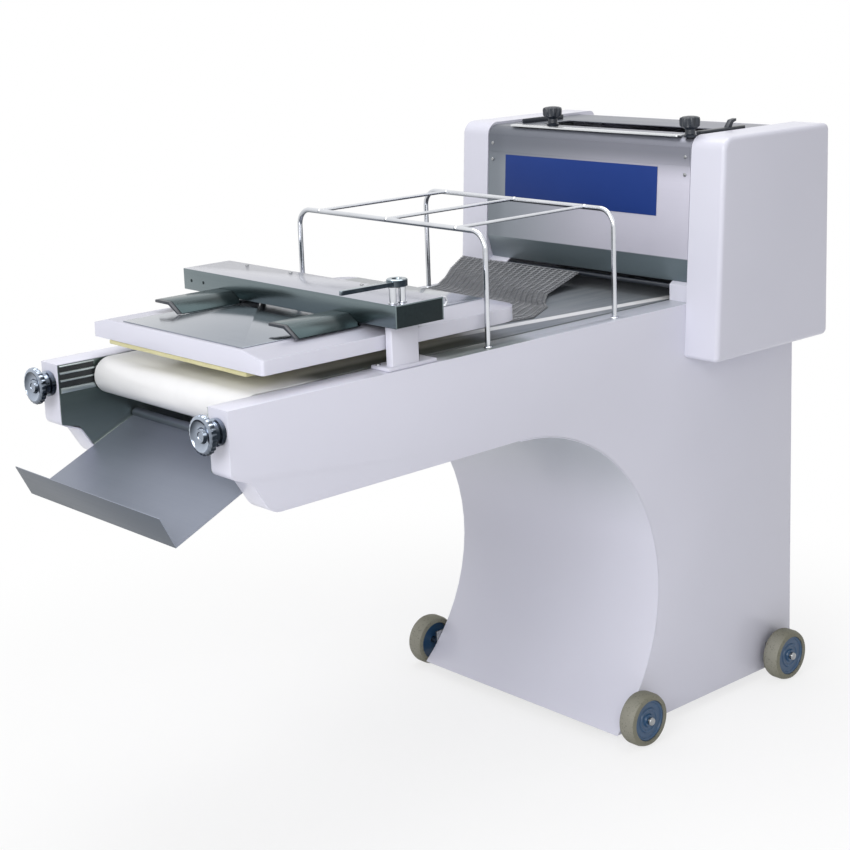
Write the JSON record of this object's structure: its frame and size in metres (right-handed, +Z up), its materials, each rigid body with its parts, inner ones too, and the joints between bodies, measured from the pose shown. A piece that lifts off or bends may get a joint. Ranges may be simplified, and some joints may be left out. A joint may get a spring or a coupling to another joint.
{
  "type": "bread-dough moulder with sheeting head",
  "caption": "Wheeled dough moulder: white sheet-steel pedestal and arm, stainless sheeting head, belt, pressure board, wire guard and catch tray.",
  "frame": {"origin": "on the floor, at the middle of the bounding box's footprint", "axes": "+X along the conveyor from the catch tray to the sheeting head, +Y from the operator's near side to the far side, +Z up"},
  "size_m": [1.445, 0.675, 1.1348],
  "materials": {
    "white_paint": "satin",
    "stainless": "satin",
    "chrome": "polished",
    "belt_white": "matte",
    "felt": "matte",
    "black_plastic": "gloss",
    "blue_plate": "satin",
    "wire_mesh": "matte",
    "castings": "matte",
    "tyre_beige": "matte"
  },
  "bodies": {
    "machine_frame": {"side_panel_near": "white_paint", "side_panel_far": "white_paint", "pedestal_front_sheet": "white_paint", "pedestal_rear_panel": "white_paint", "cable_gland": "black_plastic", "base_plate": "castings", "drive_motor": "castings", "gear_housing_near": "white_paint", "gear_housing_far": "white_paint", "head_front_cover": "stainless", "head_rear_cover": "stainless", "front_plate": "blue_plate", "bearing_plate_near": "castings", "bearing_plate_far": "castings", "slider_bed": "stainless", "conveyor_belt": "belt_white", "arm_liner_near": "stainless", "arm_liner_far": "stainless", "takeup_block_near": "castings", "takeup_block_far": "castings", "tray_rod": "chrome", "belly_pan": "stainless", "cross_channel": "stainless", "channel_bracket_near": "white_paint", "channel_bracket_far": "white_paint", "lever_post": "chrome", "mat_rod": "black_plastic", "curling_mat": "wire_mesh", "wheel_stub_near_front": "castings", "wheel_stub_near_rear": "castings", "wheel_stub_far_front": "castings", "wheel_stub_far_rear": "castings"},
    "pressure_board_group": {"pressure_board": "white_paint", "board_top_plate": "stainless", "board_lining": "felt", "lift_bar": "castings"},
    "height_lever": {"height_lever": "chrome"},
    "guide_near": {"guide_plate_near": "stainless"},
    "guide_far": {"guide_plate_far": "stainless"},
    "guard": {"wire_guard": "chrome"},
    "catch_tray": {"catch_tray": "stainless"},
    "tension_near": {"tension_knob_near": "chrome"},
    "tension_far": {"tension_knob_far": "chrome"},
    "clamp_near": {"clamp_knob_near": "black_plastic"},
    "clamp_far": {"clamp_knob_far": "black_plastic"},
    "feed_guide_near": {"feed_guide_near": "black_plastic"},
    "feed_guide_far": {"feed_guide_far": "black_plastic"},
    "front_roller": {"front_roller": "stainless"},
    "drive_roller": {"drive_roller": "stainless"},
    "feed_roller_front": {"feed_roller_front": "chrome"},
    "feed_roller_rear": {"feed_roller_rear": "chrome"},
    "sheeting_roller_front": {"sheeting_roller_front": "chrome"},
    "sheeting_roller_rear": {"sheeting_roller_rear": "chrome"},
    "wheel_near_front": {"wheel_near_front": "tyre_beige"},
    "wheel_near_rear": {"wheel_near_rear": "tyre_beige"},
    "wheel_far_front": {"wheel_far_front": "tyre_beige"},
    "wheel_far_rear": {"wheel_far_rear": "tyre_beige"}
  },
  "joints": [
    {"name": "drive_roller_turn", "type": "hinge", "parent": "machine_frame", "child": "drive_roller", "pos_m": [0.56, 0, 0.766], "axis": [0, 1, 0], "continuous": true},
    {"name": "front_roller_turn", "type": "hinge", "parent": "machine_frame", "child": "front_roller", "pos_m": [-0.535, 0, 0.766], "axis": [0, 1, 0], "continuous": true},
    {"name": "feed_roller_front_turn", "type": "hinge", "parent": "machine_frame", "child": "feed_roller_front", "pos_m": [0.469, 0, 1.03], "axis": [0, 1, 0], "continuous": true},
    {"name": "feed_roller_rear_turn", "type": "hinge", "parent": "machine_frame", "child": "feed_roller_rear", "pos_m": [0.545, 0, 1.03], "axis": [0, 1, 0], "continuous": true},
    {"name": "sheeting_roller_front_turn", "type": "hinge", "parent": "machine_frame", "child": "sheeting_roller_front", "pos_m": [0.4715, 0, 0.938], "axis": [0, 1, 0], "continuous": true},
    {"name": "sheeting_roller_rear_turn", "type": "hinge", "parent": "machine_frame", "child": "sheeting_roller_rear", "pos_m": [0.5425, 0, 0.938], "axis": [0, 1, 0], "continuous": true},
    {"name": "height_lever_swing", "type": "hinge", "parent": "machine_frame", "child": "height_lever", "pos_m": [-0.303, -0.268, 0.9333], "axis": [0, 0, 1], "range_deg": [0, 75]},
    {"name": "pressure_board_height", "type": "slide", "parent": "machine_frame", "child": "pressure_board_group", "axis": [0, 0, 1], "range_m": [-0.0117, 0]},
    {"name": "guide_near_width", "type": "slide", "parent": "machine_frame", "child": "guide_near", "axis": [0, 1, 0], "range_m": [-0.02, 0.02]},
    {"name": "guide_far_width", "type": "slide", "parent": "machine_frame", "child": "guide_far", "axis": [0, 1, 0], "range_m": [-0.02, 0.02]},
    {"name": "guard_lift", "type": "slide", "parent": "machine_frame", "child": "guard", "axis": [0, 0, 1], "range_m": [0, 0.03]},
    {"name": "catch_tray_tilt", "type": "hinge", "parent": "machine_frame", "child": "catch_tray", "pos_m": [-0.488, 0, 0.69], "axis": [0, 1, 0], "range_deg": [-15, 20]},
    {"name": "tension_near_turn", "type": "hinge", "parent": "machine_frame", "child": "tension_near", "pos_m": [-0.63, -0.2375, 0.763], "axis": [1, 0, 0], "continuous": true},
    {"name": "tension_far_turn", "type": "hinge", "parent": "machine_frame", "child": "tension_far", "pos_m": [-0.63, 0.2375, 0.763], "axis": [1, 0, 0], "continuous": true},
    {"name": "clamp_near_turn", "type": "hinge", "parent": "machine_frame", "child": "clamp_near", "pos_m": [0.4215, -0.25, 1.0968], "axis": [0, 0, 1], "continuous": true},
    {"name": "clamp_far_turn", "type": "hinge", "parent": "machine_frame", "child": "clamp_far", "pos_m": [0.46, 0.13, 1.0968], "axis": [0, 0, 1], "continuous": true},
    {"name": "feed_guide_near_width", "type": "slide", "parent": "machine_frame", "child": "feed_guide_near", "axis": [0, 1, 0], "range_m": [-0.004, 0.03]},
    {"name": "feed_guide_far_width", "type": "slide", "parent": "machine_frame", "child": "feed_guide_far", "axis": [0, 1, 0], "range_m": [-0.03, 0.02]},
    {"name": "wheel_near_front_roll", "type": "hinge", "parent": "machine_frame", "child": "wheel_near_front", "pos_m": [0.233, -0.2715, 0.05], "axis": [0, 1, 0], "continuous": true},
    {"name": "wheel_near_rear_roll", "type": "hinge", "parent": "machine_frame", "child": "wheel_near_rear", "pos_m": [0.658, -0.2715, 0.05], "axis": [0, 1, 0], "continuous": true},
    {"name": "wheel_far_front_roll", "type": "hinge", "parent": "machine_frame", "child": "wheel_far_front", "pos_m": [0.233, 0.2715, 0.05], "axis": [0, 1, 0], "continuous": true},
    {"name": "wheel_far_rear_roll", "type": "hinge", "parent": "machine_frame", "child": "wheel_far_rear", "pos_m": [0.658, 0.2715, 0.05], "axis": [0, 1, 0], "continuous": true}
  ],
  "couplings": [
    {"joint": "front_roller_turn", "follows": "drive_roller_turn", "ratio": 1},
    {"joint": "feed_roller_front_turn", "follows": "drive_roller_turn", "ratio": -1},
    {"joint": "feed_roller_rear_turn", "follows": "drive_roller_turn", "ratio": 1},
    {"joint": "sheeting_roller_front_turn", "follows": "drive_roller_turn", "ratio": -1.4},
    {"joint": "sheeting_roller_rear_turn", "follows": "drive_roller_turn", "ratio": 1.4},
    {"joint": "height_lever_swing", "follows": "pressure_board_height", "rad_per_m": -111}
  ]
}
